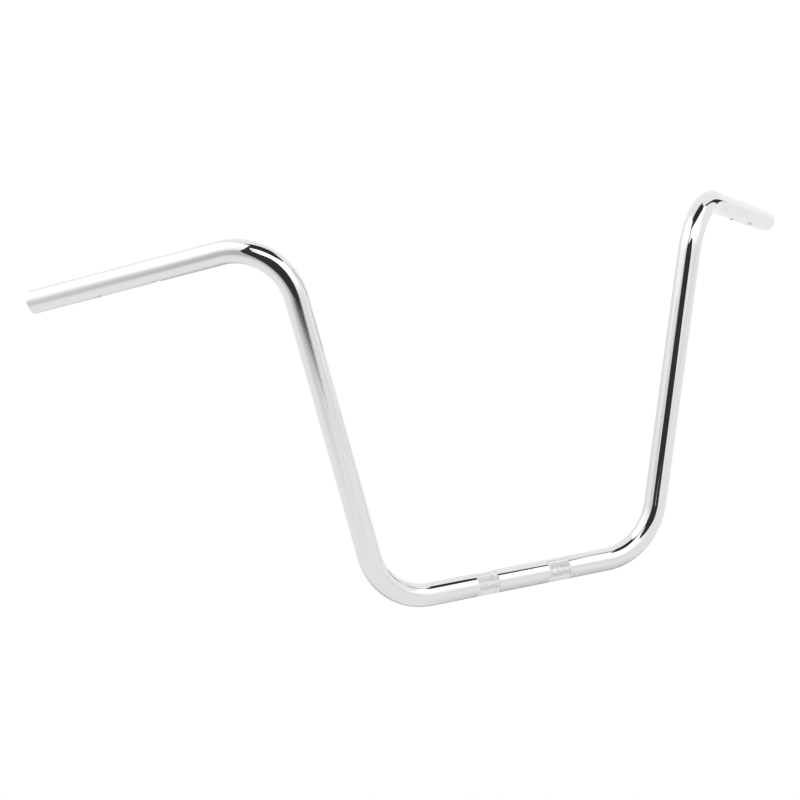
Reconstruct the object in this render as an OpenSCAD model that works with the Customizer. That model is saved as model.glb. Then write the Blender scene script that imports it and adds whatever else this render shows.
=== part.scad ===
// Ape hanger handlebar: one bent steel tube, chromed.
// The origin is the middle of the clamped centre section, on the tube's axis.
// +X runs along the centre section, +Z is up, and the grips sweep back towards +Y.

/* [Tube] */
// Outside diameter of the tube
tube_d = 25.4; // [22:0.1:32]
// Wall thickness of the tube
tube_wall = 3; // [1.6:0.1:4]
// Chamfer on the outer and inner edges of both cut ends
end_chamfer = 0.6; // [0.2:0.1:1]
// How much the tube's radius draws down where it is bent
bend_draw = 0.02; // [0.01:0.01:0.1]

/* [Bar shape] */
// Distance between the two lower corners, measured on the tube's axis
lower_corner_w = 334; // [280:1:420]
// Distance between the two upper corners, measured on the tube's axis
upper_corner_w = 500; // [440:1:620]
// Height of the upper corners above the centre section, the rise
rise = 400; // [300:1:460]
// Length from an upper corner to the cut end of the grip
grip_len = 287; // [270:1:340]
// Angle that the grips sweep back
grip_sweep = 38.75; // [20:0.25:60]
// Angle that the grips drop towards their ends
grip_drop = 11.25; // [0:0.25:25]
// Bend radius at the lower corners, on the tube's axis
lower_bend_r = 69; // [50:0.5:80]
// Bend radius at the upper corners, on the tube's axis
upper_bend_r = 63; // [50:0.5:80]

/* [Clamp knurls] */
// Distance between the middles of the two knurled bands
knurl_spacing = 88.9; // [60:0.1:110]
// Width of each knurled band
knurl_w = 26; // [12:0.5:34]
// Distance from one groove to the next, both ways
knurl_pitch = 2.2; // [1.6:0.1:4]
// Depth of the grooves
knurl_depth = 0.45; // [0.2:0.05:0.8]

/* [Wiring] */
// Length of the pressed channel under each grip
channel_len = 78; // [40:1:90]
// Distance from the cut end to the start of the channel
channel_start = 74; // [40:1:90]
// Radius of the round-nosed tool that presses the channel
channel_r = 7; // [5:0.5:10]
// Depth of the channel at its middle line
channel_depth = 2.4; // [1:0.1:3]
// Angle that the channel is turned from straight down towards the front
channel_turn = 12; // [0:1:30]
// Diameter of the wire hole at the inner end of the channel
wire_hole_d = 12; // [6:0.5:13]

/* [Hidden] */
$fn = 96;

tube_r = tube_d / 2;
bore_r = tube_r - tube_wall;
// Length by which a cutter passes what it cuts
cut_over = 1;
// Length by which each straight run reaches into the drawn-down bend beside it
run_over = 0.5;

// The corners of the right half, where the axes of two straight runs meet
lower_corner = [lower_corner_w / 2, 0, 0];
upper_corner = [upper_corner_w / 2, 0, rise];

// The uprights lean outwards by this angle
upright_lean = atan2(upper_corner.x - lower_corner.x, rise);
upright_len = norm(upper_corner - lower_corner);

// Directions of the right upright and the right grip, away from the centre
upright_dir = [sin(upright_lean), 0, cos(upright_lean)];
grip_dir = [
    cos(grip_drop) * cos(grip_sweep),
    cos(grip_drop) * sin(grip_sweep),
    -sin(grip_drop)
];

// Angles turned through at the two bends
lower_bend = 90 - upright_lean;
upper_bend = acos(upright_dir * grip_dir);

// Roll of the upper bend about the upright, from outwards to backwards
upper_bend_roll = atan2(
    grip_dir.y,
    grip_dir.x * cos(upright_lean) - grip_dir.z * sin(upright_lean)
);

// Length of straight run that each bend takes up on both sides of its corner
lower_setback = lower_bend_r * tan(lower_bend / 2);
upper_setback = upper_bend_r * tan(upper_bend / 2);

centre_run = lower_corner_w - 2 * lower_setback;
upright_run = upright_len - lower_setback - upper_setback;

// Knurled bands: whole numbers of grooves around and along
knurl_teeth = round(PI * tube_d / knurl_pitch);
knurl_rings = round(knurl_w / knurl_pitch);
knurl_ring_pitch = knurl_w / knurl_rings;

// Offset of the channel tool's middle line from the tube's axis
channel_off = tube_r + channel_r - channel_depth;
// Place of the wire hole's middle, measured from the upper corner
hole_at = grip_len - channel_start - channel_len + wire_hole_d / 2;

// One bend of a solid round bar: it starts at the origin heading up +Z and turns towards +X
module bend(bar_r, bend_r, angle) {
    translate([bend_r, 0, 0])
        rotate([90, 0, 180])
            rotate_extrude(angle = angle)
                translate([bend_r, 0])
                    circle(r = bar_r - bend_draw);
}

// One straight run of a solid round bar up +Z, seated in the bends at its ends
module run(bar_r, start, length, over_start, over_end) {
    translate([0, 0, start - over_start])
        cylinder(h = length + over_start + over_end, r = bar_r);
}

// Moves its children to the right upper corner, with +Z out along the grip
// and +X where the channel is, down and a little forwards
module at_grip() {
    translate(upper_corner)
        rotate([0, 90 + grip_drop, grip_sweep])
            rotate([0, 0, -channel_turn])
                children();
}

// The right half of the bar outside the centre section, as a solid round bar
module half_bar(bar_r, past_end) {
    translate([lower_corner.x - lower_setback, 0, 0])
        rotate([0, 90, 0])
            rotate([0, 0, 180])
                bend(bar_r, lower_bend_r, lower_bend);
    translate(lower_corner)
        rotate([0, upright_lean, 0]) {
            run(bar_r, lower_setback, upright_run, run_over, run_over);
            translate([0, 0, upright_len - upper_setback])
                rotate([0, 0, upper_bend_roll])
                    bend(bar_r, upper_bend_r, upper_bend);
        }
    at_grip()
        run(bar_r, upper_setback, grip_len - upper_setback, run_over, past_end);
}

// Both halves and the centre section, as a solid round bar
module whole_bar(bar_r, past_end) {
    rotate([0, 90, 0])
        run(bar_r, -centre_run / 2, centre_run, run_over, run_over);
    for (side = [0, 1])
        mirror([side, 0, 0])
            half_bar(bar_r, past_end);
}

// The tool that chamfers the outer edge of a cut end, in the grip's place
module outer_chamfer() {
    translate([0, 0, grip_len - end_chamfer])
        rotate_extrude()
            polygon([
                [tube_r, 0],
                [tube_r + cut_over, 0],
                [tube_r + cut_over, end_chamfer + cut_over],
                [tube_r - end_chamfer - cut_over, end_chamfer + cut_over]
            ]);
}

// The tool that chamfers the inner edge of a cut end, in the grip's place
module inner_chamfer() {
    translate([0, 0, grip_len - end_chamfer])
        cylinder(h = end_chamfer + cut_over, r1 = bore_r, r2 = bore_r + end_chamfer + cut_over);
}

// A round-nosed channel shape under the grip, grown outwards by a thickness
module channel_form(grow) {
    tool_r = channel_r + grow;
    translate([channel_off, 0, grip_len - channel_start - channel_len]) {
        translate([0, 0, channel_r])
            sphere(r = tool_r);
        translate([0, 0, channel_r])
            cylinder(h = channel_len - 2 * channel_r, r = tool_r);
        translate([0, 0, channel_len - channel_r])
            sphere(r = tool_r);
    }
}

// The round hole that lets the wires into the tube, straight up from below
module wire_hole() {
    rotate([0, 0, channel_turn])
        translate([0, 0, hole_at])
            rotate([0, 90, 0])
                cylinder(h = tube_r + cut_over, d = wire_hole_d);
}

// The bore, kept one wall's thickness away from both pressed channels
module bore() {
    difference() {
        whole_bar(bore_r, cut_over);
        for (side = [0, 1])
            mirror([side, 0, 0])
                at_grip()
                    channel_form(tube_wall);
    }
}

// One knurled band: flutes along the tube crossed by rings around it
module knurl_form() {
    flute_step = 360 / knurl_teeth;
    rotate([0, 90, 0])
        intersection() {
            linear_extrude(knurl_w, center = true)
                polygon([
                    for (i = [0 : knurl_teeth - 1], half = [0, 1])
                        (tube_r - half * knurl_depth)
                            * [cos((i + half / 2) * flute_step), sin((i + half / 2) * flute_step)]
                ]);
            translate([0, 0, -knurl_w / 2])
                rotate_extrude()
                    polygon([
                        [0, 0],
                        for (i = [0 : knurl_rings - 1], half = [0, 1])
                            [tube_r - (1 - half) * knurl_depth, (i + half / 2) * knurl_ring_pitch],
                        [tube_r - knurl_depth, knurl_w],
                        [0, knurl_w]
                    ]);
        }
}

// The metal that the knurling tool presses away from one band
module knurl_waste() {
    difference() {
        rotate([0, 90, 0])
            cylinder(h = knurl_w, r = tube_r + cut_over, center = true);
        knurl_form();
    }
}

// The whole handlebar
module handlebar() {
    color("lightgray")
        difference() {
            whole_bar(tube_r, 0);
            bore();
            for (side = [0, 1])
                mirror([side, 0, 0]) {
                    translate([knurl_spacing / 2, 0, 0])
                        knurl_waste();
                    at_grip() {
                        outer_chamfer();
                        inner_chamfer();
                        channel_form(0);
                        wire_hole();
                    }
                }
        }
}

handlebar();
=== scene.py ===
from math import cos, hypot, pi, radians, sin, tan

import bmesh
import bpy
from mathutils import Euler, Matrix, Vector


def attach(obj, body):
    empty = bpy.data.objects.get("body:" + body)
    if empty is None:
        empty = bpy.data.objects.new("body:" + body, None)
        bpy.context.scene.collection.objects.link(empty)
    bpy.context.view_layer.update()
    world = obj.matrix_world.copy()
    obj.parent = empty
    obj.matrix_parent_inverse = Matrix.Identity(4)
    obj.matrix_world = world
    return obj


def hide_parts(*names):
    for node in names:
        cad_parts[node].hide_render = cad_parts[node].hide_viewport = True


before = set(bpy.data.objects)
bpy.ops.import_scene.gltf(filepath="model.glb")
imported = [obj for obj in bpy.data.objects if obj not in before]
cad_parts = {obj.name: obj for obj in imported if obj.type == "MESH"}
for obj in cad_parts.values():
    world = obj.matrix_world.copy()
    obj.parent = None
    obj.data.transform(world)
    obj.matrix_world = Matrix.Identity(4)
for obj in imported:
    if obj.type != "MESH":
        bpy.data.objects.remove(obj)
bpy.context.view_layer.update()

# Sizes of the bar, in metres and radians, the same as in the solids
MM = 0.001
TUBE_R = 12.7 * MM
WALL = 3.0 * MM
BEND_DRAW = 0.02 * MM
END_CHAMFER = 0.6 * MM
LOWER_CORNER = Vector((167.0 * MM, 0.0, 0.0))
UPPER_CORNER = Vector((250.0 * MM, 0.0, 400.0 * MM))
GRIP_LEN = 287.0 * MM
GRIP_SWEEP = radians(38.75)
GRIP_DROP = radians(11.25)
LOWER_BEND_R = 69.0 * MM
UPPER_BEND_R = 63.0 * MM

# Knurled bands
KNURL_SPACING = 88.9 * MM
KNURL_W = 26.0 * MM
KNURL_TEETH = 36
KNURL_ROWS = 12
KNURL_DEPTH = 0.45 * MM

# Wiring channel and wire hole
CHANNEL_LEN = 78.0 * MM
CHANNEL_START = 74.0 * MM
CHANNEL_R = 7.0 * MM
CHANNEL_DEPTH = 2.4 * MM
CHANNEL_TURN = radians(12.0)
CHANNEL_ROUNDING = 0.5 * MM
WIRE_HOLE_R = 6.0 * MM

# Fineness of the mesh: sides to each tooth of the knurl and rings to each of its rows, steps round
# the bends and along the channels, and the longest step along the plain parts of a grip
TOOTH_SIDES = 4
SIDES = TOOTH_SIDES * KNURL_TEETH
KNURL_RINGS = TOOTH_SIDES * KNURL_ROWS
BEND_STEP = radians(2.0)
BORE_BEND_STEP = radians(6.0)
CHANNEL_STEP = 1.0 * MM
BORE_CHANNEL_STEP = 2.0 * MM
PLAIN_STEP = 20.0 * MM
# How far the channel's close rings pass its ends, and how far a straight run's rings stay off a bend
CHANNEL_MARGIN = 2.0 * MM
BEND_MARGIN = 1.0 * MM
# Edges that turn by more than this stay sharp
SHARP_ANGLE = radians(30.0)
# The wire hole's cutter: its sides, and the share of the tube's radius that it reaches in and out
WIRE_CUTTER_SIDES = 64
WIRE_CUTTER_REACH = 0.8

# Directions of the right half. The channel lies below the grip, turned a little to the front.
OUTWARD = Vector((1.0, 0.0, 0.0))
UPRIGHT = (UPPER_CORNER - LOWER_CORNER).normalized()
GRIP = Vector((cos(GRIP_DROP) * cos(GRIP_SWEEP), cos(GRIP_DROP) * sin(GRIP_SWEEP), -sin(GRIP_DROP)))
GRIP_FRAME = Euler((0.0, pi / 2 + GRIP_DROP, GRIP_SWEEP)).to_matrix()
GRIP_DOWN = GRIP_FRAME @ Vector((1.0, 0.0, 0.0))
CHANNEL_DIR = Matrix.Rotation(-CHANNEL_TURN, 3, GRIP) @ GRIP_DOWN
GRIP_AXES = [GRIP, CHANNEL_DIR, GRIP.cross(CHANNEL_DIR)]


class Station:
    """A place on the bar's axis: its centre, the axis' direction and the two directions across it."""

    def __init__(self, centre, axes, radius, along=None):
        self.centre = centre
        self.axes = axes
        self.radius = radius
        self.along = along

    def ring(self, shape=None):
        """The points around the bar here. shape gives the radius at a turn angle."""
        points = []
        for i in range(SIDES):
            turn = 2 * pi * i / SIDES
            radius = shape(self, i, turn) if shape else self.radius
            points.append(self.centre + radius * (cos(turn) * self.axes[1] + sin(turn) * self.axes[2]))
        return points


def turned(axes, about, angle):
    spin = Matrix.Rotation(angle, 3, about)
    return [spin @ a for a in axes]


def at_side(place, side):
    """A place or direction of the right half, for side 1, or its mirror image, for side -1."""
    return Vector((side * place.x, place.y, place.z))


def bend_stations(corner, before, after, bend_r, axes, radius, step):
    """Stations round one bend, from its outer end to its inner end, and the axes at its inner end."""
    angle = before.angle(after)
    about = before.cross(after).normalized()
    middle = corner + (after - before).normalized() * bend_r / cos(angle / 2)
    arm = corner + after * bend_r * tan(angle / 2) - middle
    count = max(2, round(angle / step))
    stations = []
    for k in range(count + 1):
        back = -angle * k / count
        centre = middle + Matrix.Rotation(back, 3, about) @ arm
        stations.append(Station(centre, turned(axes, about, back), radius - BEND_DRAW))
    return stations, turned(axes, about, -angle)


def spread(start, end, step):
    """Evenly spread numbers from start to end, both included, about a step apart."""
    count = max(1, round(abs(end - start) / step))
    return [start + (end - start) * k / count for k in range(count + 1)]


def channel_depth(along, turn, radius, grow):
    """How far the pressed channel pushes the wall in, at a distance along the grip."""
    low = GRIP_LEN - CHANNEL_START - CHANNEL_LEN + CHANNEL_R
    high = GRIP_LEN - CHANNEL_START - CHANNEL_R
    tool_off = TUBE_R + CHANNEL_R - CHANNEL_DEPTH
    past = along - min(max(along, low), high)
    across = hypot(tool_off - radius * cos(turn), radius * sin(turn))
    inside = CHANNEL_R + grow - hypot(past, across)
    if inside <= -CHANNEL_ROUNDING:
        return 0.0
    if inside >= CHANNEL_ROUNDING:
        return inside
    return (inside + CHANNEL_ROUNDING) ** 2 / (4 * CHANNEL_ROUNDING)


# Each surface gives the radius at one point of a station's ring: point i, at a turn angle


def grip_surface(station, i, turn):
    return station.radius - channel_depth(station.along, turn, TUBE_R, 0.0)


def bore_surface(station, i, turn):
    return station.radius - channel_depth(station.along, turn, TUBE_R - WALL, WALL)


def knurl_surface(row):
    """Diamond points: the radius falls towards the two families of crossing grooves."""
    half = TOOTH_SIDES / 2

    def shape(station, i, turn):
        first = abs((i + row) % TOOTH_SIDES - half) / half
        second = abs((i - row) % TOOTH_SIDES - half) / half
        return station.radius - KNURL_DEPTH * max(first, second)

    return shape


def grip_station(along, radius):
    return Station(UPPER_CORNER + GRIP * along, GRIP_AXES, radius, along)


def half_rings(radius, bend_step, channel_step, surface, with_knurl):
    """Rings of the right half for a bar of one radius, from the cut end in to the middle plane."""
    rings = []

    def on_grip(along):
        rings.append(grip_station(along, radius).ring(surface))

    channel_outer = GRIP_LEN - CHANNEL_START + CHANNEL_MARGIN
    channel_inner = GRIP_LEN - CHANNEL_START - CHANNEL_LEN - CHANNEL_MARGIN
    angle = UPRIGHT.angle(GRIP)
    grip_start = UPPER_BEND_R * tan(angle / 2)
    for along in spread(GRIP_LEN - END_CHAMFER, channel_outer, PLAIN_STEP)[:-1]:
        on_grip(along)
    for along in spread(channel_outer, channel_inner, channel_step):
        on_grip(along)
    for along in spread(channel_inner, grip_start + BEND_MARGIN, PLAIN_STEP)[1:]:
        on_grip(along)

    upper, axes_up = bend_stations(UPPER_CORNER, UPRIGHT, GRIP, UPPER_BEND_R, GRIP_AXES, radius, bend_step)
    lower, axes_in = bend_stations(LOWER_CORNER, OUTWARD, UPRIGHT, LOWER_BEND_R, axes_up, radius, bend_step)
    top = upper[-1].centre - BEND_MARGIN * UPRIGHT
    foot = lower[0].centre + BEND_MARGIN * UPRIGHT
    rings += [s.ring() for s in upper]
    rings += [Station(place, axes_up, radius).ring() for place in (top, top.lerp(foot, 0.5), foot)]
    rings += [s.ring() for s in lower]

    def on_base(x, shape=None):
        rings.append(Station(Vector((x, 0.0, 0.0)), axes_in, radius).ring(shape))

    on_base(lower[-1].centre.x - BEND_MARGIN)
    if with_knurl:
        knurl_outer = (KNURL_SPACING + KNURL_W) / 2
        knurl_inner = (KNURL_SPACING - KNURL_W) / 2
        on_base(knurl_outer)
        for row in range(KNURL_RINGS + 1):
            on_base(knurl_outer - KNURL_W * row / KNURL_RINGS, knurl_surface(row))
        on_base(knurl_inner)
    on_base(0.0)
    return rings


# Places of the three finishes in the tube's list of materials
CHROME, KNURL, BORE = range(3)


def strip_faces(rows, knurl_rows, bore_rows):
    """Faces between neighbouring rings and the finish of each.

    Knurled rows are split into triangles along their grooves.
    """
    faces = []
    finishes = []
    for row, (inner, outer) in enumerate(zip(rows, rows[1:])):
        for i in range(SIDES):
            j = (i + 1) % SIDES
            a, b, c, d = inner[i], inner[j], outer[j], outer[i]
            if row not in knurl_rows:
                faces.append((a, b, c, d))
                finishes.append(BORE if row in bore_rows else CHROME)
                continue
            if (i - knurl_rows.index(row)) % 2 == 0:
                faces += [(a, b, c), (a, c, d)]
            else:
                faces += [(a, b, d), (b, c, d)]
            finishes += [KNURL, KNURL]
    return faces, finishes


def bar_mesh(materials):
    """The whole tube as one closed mesh, without its wire holes."""
    outer = half_rings(TUBE_R, BEND_STEP, CHANNEL_STEP, grip_surface, True)[::-1]
    bore = half_rings(TUBE_R - WALL, BORE_BEND_STEP, BORE_CHANNEL_STEP, bore_surface, False)
    end = [
        grip_station(GRIP_LEN, TUBE_R - END_CHAMFER).ring(),
        grip_station(GRIP_LEN, TUBE_R - WALL + END_CHAMFER).ring(),
    ]
    half = outer + end + bore
    points = [p for ring in half for p in ring]
    rows = [[r * SIDES + i for i in range(SIDES)] for r in range(len(half))]
    # Before the knurl come the middle plane's ring and the plain ring beside the knurl
    first_knurl_row = 2
    knurl_rows = range(first_knurl_row, first_knurl_row + KNURL_RINGS)
    bore_rows = range(len(outer) + len(end), len(rows))
    faces, finishes = strip_faces(rows, knurl_rows, bore_rows)
    # The left half is the right half's mirror image; the two share the rings of the middle plane
    twin = list(range(len(points)))
    for row in rows[1:-1]:
        for n in row:
            twin[n] = len(points)
            points.append(at_side(points[n], -1.0))
    faces += [tuple(twin[n] for n in reversed(face)) for face in faces]
    mesh = bpy.data.meshes.new("handlebar_tube")
    mesh.from_pydata([tuple(p) for p in points], [], faces)
    for material in materials:
        mesh.materials.append(material)
    mesh.polygons.foreach_set("material_index", finishes + finishes)
    mesh.update()
    return mesh


def wire_hole_cutter(side):
    """A round bar that points up into the tube below one grip."""
    along = GRIP_LEN - CHANNEL_START - CHANNEL_LEN + WIRE_HOLE_R
    centre = at_side(UPPER_CORNER + GRIP * along + GRIP_DOWN * TUBE_R, side)
    direction = at_side(GRIP_DOWN, side)
    mesh = bpy.data.meshes.new("wire_hole_cutter")
    shape = bmesh.new()
    bmesh.ops.create_cone(
        shape,
        cap_ends=True,
        segments=WIRE_CUTTER_SIDES,
        radius1=WIRE_HOLE_R,
        radius2=WIRE_HOLE_R,
        depth=2 * TUBE_R * WIRE_CUTTER_REACH,
    )
    shape.transform(direction.to_track_quat("Z", "Y").to_matrix().to_4x4())
    bmesh.ops.translate(shape, verts=shape.verts, vec=centre)
    shape.to_mesh(mesh)
    shape.free()
    cutter = bpy.data.objects.new("wire_hole_cutter", mesh)
    bpy.context.collection.objects.link(cutter)
    return cutter


def cut_wire_holes(bar):
    """Cuts one round hole up into the tube below each grip."""
    cutters = [wire_hole_cutter(side) for side in (1.0, -1.0)]
    for cutter in cutters:
        cut = bar.modifiers.new("wire_hole", "BOOLEAN")
        cut.operation = "DIFFERENCE"
        cut.solver = "EXACT"
        cut.object = cutter
    bpy.context.view_layer.update()
    evaluated = bar.evaluated_get(bpy.context.evaluated_depsgraph_get())
    mesh = bpy.data.meshes.new_from_object(evaluated)
    bar.modifiers.clear()
    bar.data = mesh
    for cutter in cutters:
        bpy.data.objects.remove(cutter)


def shade_faces(mesh):
    """Smooth shading with true sharp edges; the facets of the knurl stay flat."""
    shape = bmesh.new()
    shape.from_mesh(mesh)
    bmesh.ops.recalc_face_normals(shape, faces=shape.faces)
    shape.normal_update()
    for face in shape.faces:
        face.smooth = face.material_index != KNURL
    for edge in shape.edges:
        if len(edge.link_faces) == 2 and edge.calc_face_angle() > SHARP_ANGLE:
            edge.smooth = False
    shape.to_mesh(mesh)
    shape.free()


# Colours of the finishes. The knurl's and the bore's run from dark spots to bright ones.
CHROME_COLOUR = (0.74, 0.74, 0.745, 1.0)
KNURL_DARK = (0.64, 0.64, 0.645, 1.0)
KNURL_BRIGHT = (1.0, 1.0, 1.0, 1.0)
STEEL_DARK = (0.20, 0.195, 0.19, 1.0)
STEEL_BRIGHT = (0.34, 0.335, 0.33, 1.0)


def node_material(name, metallic):
    material = bpy.data.materials.new(name)
    material.use_nodes = True
    tree = material.node_tree
    shader = tree.nodes["Principled BSDF"]
    shader.inputs["Metallic"].default_value = metallic
    return material, tree, shader


def add_noise(tree, scale, detail):
    """A noise that is fixed to the piece. Its scale is the number of spots to the metre."""
    where = tree.nodes.new("ShaderNodeTexCoord")
    noise = tree.nodes.new("ShaderNodeTexNoise")
    noise.inputs["Scale"].default_value = scale
    noise.inputs["Detail"].default_value = detail
    tree.links.new(where.outputs["Object"], noise.inputs["Vector"])
    return noise.outputs["Fac"]


def add_colours(tree, shader, source, dark, bright):
    blend = tree.nodes.new("ShaderNodeMix")
    blend.data_type = "RGBA"
    blend.inputs["A"].default_value = dark
    blend.inputs["B"].default_value = bright
    tree.links.new(source, blend.inputs["Factor"])
    tree.links.new(blend.outputs["Result"], shader.inputs["Base Color"])


def add_roughness(tree, shader, source, low, high):
    ramp = tree.nodes.new("ShaderNodeMapRange")
    ramp.inputs["To Min"].default_value = low
    ramp.inputs["To Max"].default_value = high
    tree.links.new(source, ramp.inputs["Value"])
    tree.links.new(ramp.outputs["Result"], shader.inputs["Roughness"])


def add_bump(tree, shader, source, distance, strength):
    bump = tree.nodes.new("ShaderNodeBump")
    bump.inputs["Distance"].default_value = distance
    bump.inputs["Strength"].default_value = strength
    tree.links.new(source, bump.inputs["Height"])
    tree.links.new(bump.outputs["Normal"], shader.inputs["Normal"])


def chrome_material():
    """Bright chrome plate with a faint haze that varies and the slight waviness of polished tube."""
    material, tree, shader = node_material("chrome_plate", metallic=1.0)
    shader.inputs["Base Color"].default_value = CHROME_COLOUR
    haze = add_noise(tree, scale=35.0, detail=3.0)
    add_roughness(tree, shader, haze, low=0.02, high=0.05)
    wave = add_noise(tree, scale=120.0, detail=1.0)
    add_bump(tree, shader, wave, distance=0.02 * MM, strength=0.35)
    return material


def knurl_material():
    """Chrome over knurling: its small, uneven points scatter the light to a matte grey."""
    material, tree, shader = node_material("chrome_knurl", metallic=1.0)
    points = add_noise(tree, scale=420.0, detail=2.0)
    add_colours(tree, shader, points, KNURL_DARK, KNURL_BRIGHT)
    add_roughness(tree, shader, points, low=0.28, high=0.42)
    add_bump(tree, shader, points, distance=0.15 * MM, strength=0.6)
    return material


def bore_material():
    """Bare drawn steel inside the tube."""
    material, tree, shader = node_material("drawn_steel", metallic=1.0)
    scale = add_noise(tree, scale=220.0, detail=4.0)
    add_colours(tree, shader, scale, STEEL_DARK, STEEL_BRIGHT)
    add_roughness(tree, shader, scale, low=0.35, high=0.6)
    add_bump(tree, shader, scale, distance=0.08 * MM, strength=0.4)
    return material


def make_bar():
    materials = [chrome_material(), knurl_material(), bore_material()]
    bar = bpy.data.objects.new("handlebar_tube", bar_mesh(materials))
    bpy.context.collection.objects.link(bar)
    cut_wire_holes(bar)
    shade_faces(bar.data)
    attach(bar, "root")
    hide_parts("handlebar")


# The studio: a white room and a pale, matte floor
ROOM_LIGHT = 1.06
WHITE = (1.0, 1.0, 1.0, 1.0)
FLOOR_Z = -0.35
FLOOR_HALF = 12.0
FLOOR_COLOUR = (0.955, 0.955, 0.955, 1.0)


def make_floor():
    corners = [(x * FLOOR_HALF, y * FLOOR_HALF, FLOOR_Z) for x, y in ((-1, -1), (1, -1), (1, 1), (-1, 1))]
    mesh = bpy.data.meshes.new("floor")
    mesh.from_pydata(corners, [], [(0, 1, 2, 3)])
    floor = bpy.data.objects.new("floor", mesh)
    bpy.context.collection.objects.link(floor)
    material, tree, shader = node_material("pale_floor", metallic=0.0)
    shader.inputs["Base Color"].default_value = FLOOR_COLOUR
    shader.inputs["Roughness"].default_value = 1.0
    shader.inputs["Specular IOR Level"].default_value = 0.0
    mesh.materials.append(material)


def make_room():
    world = bpy.data.worlds.new("white_room")
    world.use_nodes = True
    background = world.node_tree.nodes["Background"]
    background.inputs["Color"].default_value = WHITE
    background.inputs["Strength"].default_value = ROOM_LIGHT
    bpy.context.scene.world = world


# What the chrome mirrors besides the white room: flat panels that show in reflections only.
# A panel's outline is given from its middle, in two directions: across (left to right) and up
# (low to high). Its four soft sides are shares of its whole width and height.
OVER = Vector((0.0, 0.0, 1.0))
SIDEWAYS = Vector((1.0, 0.0, 0.0))
BACKWARDS = Vector((0.0, 1.0, 0.0))


def box_outline(left, right, low, high):
    return [(left, low), (right, low), (right, high), (left, high)]


def soft_sides(left=0.0, right=0.0, low=0.0, high=0.0):
    return (left, right), (low, high)


def panel_material(name, light, fades):
    """A flat glow that fades out to clear towards its soft sides."""
    material = bpy.data.materials.new(name)
    material.use_nodes = True
    tree = material.node_tree
    tree.nodes.clear()
    where = tree.nodes.new("ShaderNodeUVMap")
    split = tree.nodes.new("ShaderNodeSeparateXYZ")
    tree.links.new(where.outputs["UV"], split.inputs["Vector"])
    clear = tree.nodes.new("ShaderNodeBsdfTransparent").outputs["BSDF"]
    glow = tree.nodes.new("ShaderNodeEmission")
    glow.inputs["Strength"].default_value = light
    surface = glow.outputs["Emission"]
    for axis, (low, high) in zip("XY", fades):
        for start, end in ((0.0, low), (1.0, 1.0 - high)):
            if start == end:
                continue
            step = tree.nodes.new("ShaderNodeMapRange")
            step.interpolation_type = "SMOOTHSTEP"
            step.inputs["From Min"].default_value = start
            step.inputs["From Max"].default_value = end
            tree.links.new(split.outputs[axis], step.inputs["Value"])
            mix = tree.nodes.new("ShaderNodeMixShader")
            tree.links.new(step.outputs["Result"], mix.inputs["Fac"])
            tree.links.new(clear, mix.inputs[1])
            tree.links.new(surface, mix.inputs[2])
            surface = mix.outputs["Shader"]
    out = tree.nodes.new("ShaderNodeOutputMaterial")
    tree.links.new(surface, out.inputs["Surface"])
    return material


def make_panel(name, middle, across, up, outline, light, fades=soft_sides()):
    mesh = bpy.data.meshes.new(name)
    corners = [Vector(middle) + across * x + up * y for x, y in outline]
    mesh.from_pydata([tuple(c) for c in corners], [], [tuple(range(len(corners)))])
    low = [min(place[k] for place in outline) for k in (0, 1)]
    size = [max(place[k] for place in outline) - low[k] for k in (0, 1)]
    layer = mesh.uv_layers.new(name="UVMap")
    for loop, place in zip(layer.data, outline):
        loop.uv = [(place[k] - low[k]) / size[k] for k in (0, 1)]
    mesh.materials.append(panel_material(name, light, fades))
    panel = bpy.data.objects.new(name, mesh)
    bpy.context.collection.objects.link(panel)
    panel.visible_camera = False
    panel.visible_diffuse = False
    panel.visible_transmission = False
    panel.visible_shadow = False


# The opening that the picture is taken through, with a tall slit at its left: the direction of its
# middle from straight in front, in degrees, its distance, and its outline
OPENING_TURN = -26.6
OPENING_FAR = 1.35
OPENING_LIGHT = 0.04
OPENING_OUTLINE = [
    (-0.86, 0.04),
    (-0.8, 0.84),
    (-0.68, 1.3),
    (-0.58, 1.9),
    (-0.5, 3.0),
    (-0.38, 3.0),
    (-0.45, 1.9),
    (-0.48, 1.15),
    (-0.32, 1.08),
    (0.13, 1.28),
    (0.4, 1.22),
    (0.6, 0.95),
    (0.66, 0.3),
    (0.76, 0.1),
    (0.78, -0.22),
    (0.2, -0.22),
    (0.08, 0.04),
]

# The small white board near the bar, in front of the opening: its distance and its light. It keeps
# the opening's lower right part out of the left upright's reflections.
FILL_FAR = 0.25
FILL_LIGHT = 0.96

# The dark middle of the ceiling
CEILING_Z = 1.81
CEILING_LIGHT = 0.035
CEILING_OUTLINE = [
    (-0.94, -0.78),
    (-0.34, -0.2),
    (-0.39, 0.04),
    (0.73, 0.23),
    (0.84, -0.1),
    (1.08, -0.28),
    (1.02, -0.6),
    (0.62, -0.76),
    (0.24, -0.88),
    (-0.09, -0.86),
]

# The dark gap in the right wall: its width, and its middle line from the ceiling down
GAP_X = 2.0
GAP_W = 0.24
GAP_LIGHT = 0.04
GAP_LINE = [
    (-0.66, 3.1),
    (-0.38, 1.93),
    (-0.1, 1.39),
    (0.11, 1.05),
    (0.28, 0.69),
    (0.45, 0.45),
    (0.6, 0.25),
]


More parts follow.
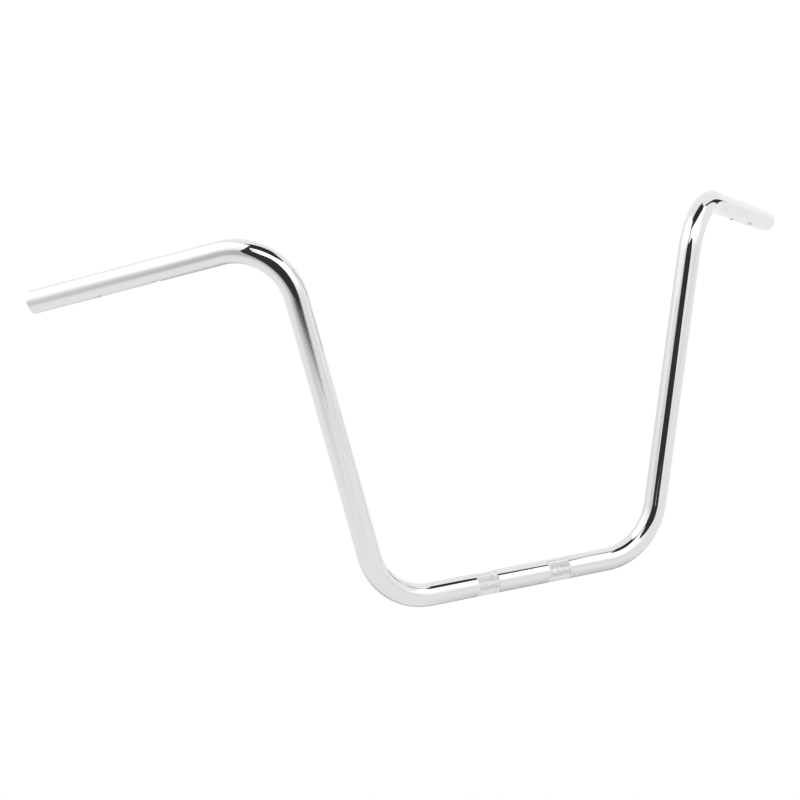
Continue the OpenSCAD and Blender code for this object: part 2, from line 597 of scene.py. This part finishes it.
def make_dark_parts():
    """The opening in front with painted shade below it and the board before it, the ceiling's middle and
    the gap on the right.
    """
    turn = radians(OPENING_TURN)
    across = Vector((cos(turn), sin(turn), 0.0))
    towards = Vector((sin(turn), -cos(turn), 0.0))
    opening = towards * OPENING_FAR
    make_panel("dark_opening", opening, across, OVER, OPENING_OUTLINE, OPENING_LIGHT)
    # Painted shade below the opening: a sheet as dark as the opening that fades out downwards
    make_panel(
        "painted_shade_below_opening",
        opening,
        across,
        OVER,
        box_outline(left=-0.9, right=0.2, low=-0.24, high=0.05),
        OPENING_LIGHT,
        soft_sides(left=0.05, right=0.2, low=1.0),
    )
    make_panel(
        "fill_board",
        towards * FILL_FAR,
        across,
        OVER,
        box_outline(left=-0.15, right=-0.05, low=0.0, high=0.36),
        FILL_LIGHT,
        soft_sides(left=0.1, right=0.1, high=0.5),
    )
    ceiling = OVER * CEILING_Z
    make_panel("dark_ceiling", ceiling, SIDEWAYS, BACKWARDS, CEILING_OUTLINE, CEILING_LIGHT)
    near = [(y - GAP_W / 2, z) for y, z in GAP_LINE]
    far = [(y + GAP_W / 2, z) for y, z in GAP_LINE]
    make_panel("dark_gap", SIDEWAYS * GAP_X, BACKWARDS, OVER, near + far[::-1], GAP_LIGHT)


# Softboxes: on the left leaning over the bar, in front, and overhead in front
SOFTBOX_LIGHT = 1.5
LEFT_SOFTBOX_FOOT = Vector((-2.2, 0.0, 0.3))
LEFT_SOFTBOX_LEAN = Vector((0.5, 0.0, 0.85)).normalized()
FRONT_SOFTBOX_Y = -2.6
TOP_SOFTBOX_Z = 2.6


def make_softboxes():
    make_panel(
        "left_softbox",
        LEFT_SOFTBOX_FOOT,
        BACKWARDS,
        LEFT_SOFTBOX_LEAN,
        box_outline(left=-1.8, right=3.0, low=0.0, high=3.0),
        SOFTBOX_LIGHT,
        soft_sides(left=0.4, right=0.3, low=0.5, high=0.1),
    )
    make_panel(
        "front_softbox",
        BACKWARDS * FRONT_SOFTBOX_Y,
        SIDEWAYS,
        OVER,
        box_outline(left=-3.0, right=3.4, low=0.4, high=2.6),
        SOFTBOX_LIGHT,
        soft_sides(left=0.1, right=0.2, low=0.7),
    )
    make_panel(
        "top_softbox",
        OVER * TOP_SOFTBOX_Z,
        SIDEWAYS,
        BACKWARDS,
        box_outline(left=-1.6, right=3.2, low=-3.0, high=-0.3),
        SOFTBOX_LIGHT,
        soft_sides(left=0.2, right=0.2, high=0.15),
    )


# Painted shade, seen in reflections only: darker sheets at the foot of each wall but the right one, on the
# floor on the left and behind, and below the centre section. The panels near the floor stay just above it,
# and each other.
LEFT_WALL_X = -2.1
BACK_WALL_Y = 3.0
FRONT_WALL_Y = -2.5
FOOT_Z = -0.34
BACK_FLOOR_Z = -0.33
SHADE_BELOW_CENTRE_Z = -0.18
# How light each sheet of painted shade glows
LEFT_WALL_SHADE_LIGHT = 0.52
LEFT_FLOOR_SHADE_LIGHT = 0.58
BACK_FLOOR_SHADE_LIGHT = 0.62
BACK_WALL_SHADE_LIGHT = 0.94
FRONT_WALL_SHADE_LIGHT = 0.94
SHADE_BELOW_CENTRE_LIGHT = 0.4


def make_painted_shades():
    # Painted shade at the foot of the left wall, darkest low down and towards the front
    make_panel(
        "left_wall_painted_shade",
        SIDEWAYS * LEFT_WALL_X,
        BACKWARDS,
        OVER,
        box_outline(left=-2.0, right=0.5, low=FOOT_Z, high=2.0),
        LEFT_WALL_SHADE_LIGHT,
        soft_sides(right=0.9, high=0.6),
    )
    # Painted shade on the floor on the left, fading out towards the back and towards the bar
    make_panel(
        "left_floor_shade",
        OVER * FOOT_Z,
        BACKWARDS,
        SIDEWAYS,
        box_outline(left=-2.0, right=0.3, low=LEFT_WALL_X, high=-0.5),
        LEFT_FLOOR_SHADE_LIGHT,
        soft_sides(right=0.6, high=1.0),
    )
    # Painted shade on the floor behind the bar
    make_panel(
        "back_floor_shade",
        OVER * BACK_FLOOR_Z,
        SIDEWAYS,
        BACKWARDS,
        box_outline(left=-0.5, right=0.8, low=0.0, high=1.6),
        BACK_FLOOR_SHADE_LIGHT,
        soft_sides(left=0.3, right=0.2, low=0.2, high=0.5),
    )
    # Painted shade at the foot of the back wall, darker towards the bottom
    make_panel(
        "back_wall_painted_shade",
        BACKWARDS * BACK_WALL_Y,
        SIDEWAYS,
        OVER,
        box_outline(left=-4.0, right=4.0, low=FOOT_Z, high=1.6),
        BACK_WALL_SHADE_LIGHT,
        soft_sides(left=0.3, right=0.3, high=0.7),
    )
    # Painted shade at the foot of the front wall on the right, darker towards the bottom
    make_panel(
        "front_wall_painted_shade",
        BACKWARDS * FRONT_WALL_Y,
        SIDEWAYS,
        OVER,
        box_outline(left=0.5, right=4.0, low=FOOT_Z, high=1.0),
        FRONT_WALL_SHADE_LIGHT,
        soft_sides(left=0.3, right=0.3, high=0.7),
    )
    # Painted shade below the centre section: a dark sheet under the bar, darker towards the back
    make_panel(
        "painted_shade_below_centre",
        OVER * SHADE_BELOW_CENTRE_Z,
        SIDEWAYS,
        BACKWARDS,
        box_outline(left=-0.1, right=0.4, low=-0.34, high=0.6),
        SHADE_BELOW_CENTRE_LIGHT,
        soft_sides(left=0.3, right=0.3, low=0.84, high=0.1),
    )


# The camera: its place, its turn in degrees about X, Y and Z, the length of its lens and the width
# of its sensor in millimetres, and the nearest distance that it sees
CAMERA_PLACE = (-0.8241, -1.6007, 0.5308)
CAMERA_TURN = (79.779, 3.872, -24.129)
CAMERA_LENS = 75.525
CAMERA_SENSOR = 36.0
CAMERA_NEAR = 0.01


def make_camera():
    data = bpy.data.cameras.new("camera")
    data.lens = CAMERA_LENS
    data.sensor_width = CAMERA_SENSOR
    data.clip_start = CAMERA_NEAR
    camera = bpy.data.objects.new("camera", data)
    camera.location = CAMERA_PLACE
    camera.rotation_euler = Euler([radians(a) for a in CAMERA_TURN])
    bpy.context.collection.objects.link(camera)
    bpy.context.scene.camera = camera


make_bar()
make_floor()
make_room()
make_dark_parts()
make_softboxes()
make_painted_shades()
make_camera()
bpy.context.scene.view_settings.view_transform = "Standard"
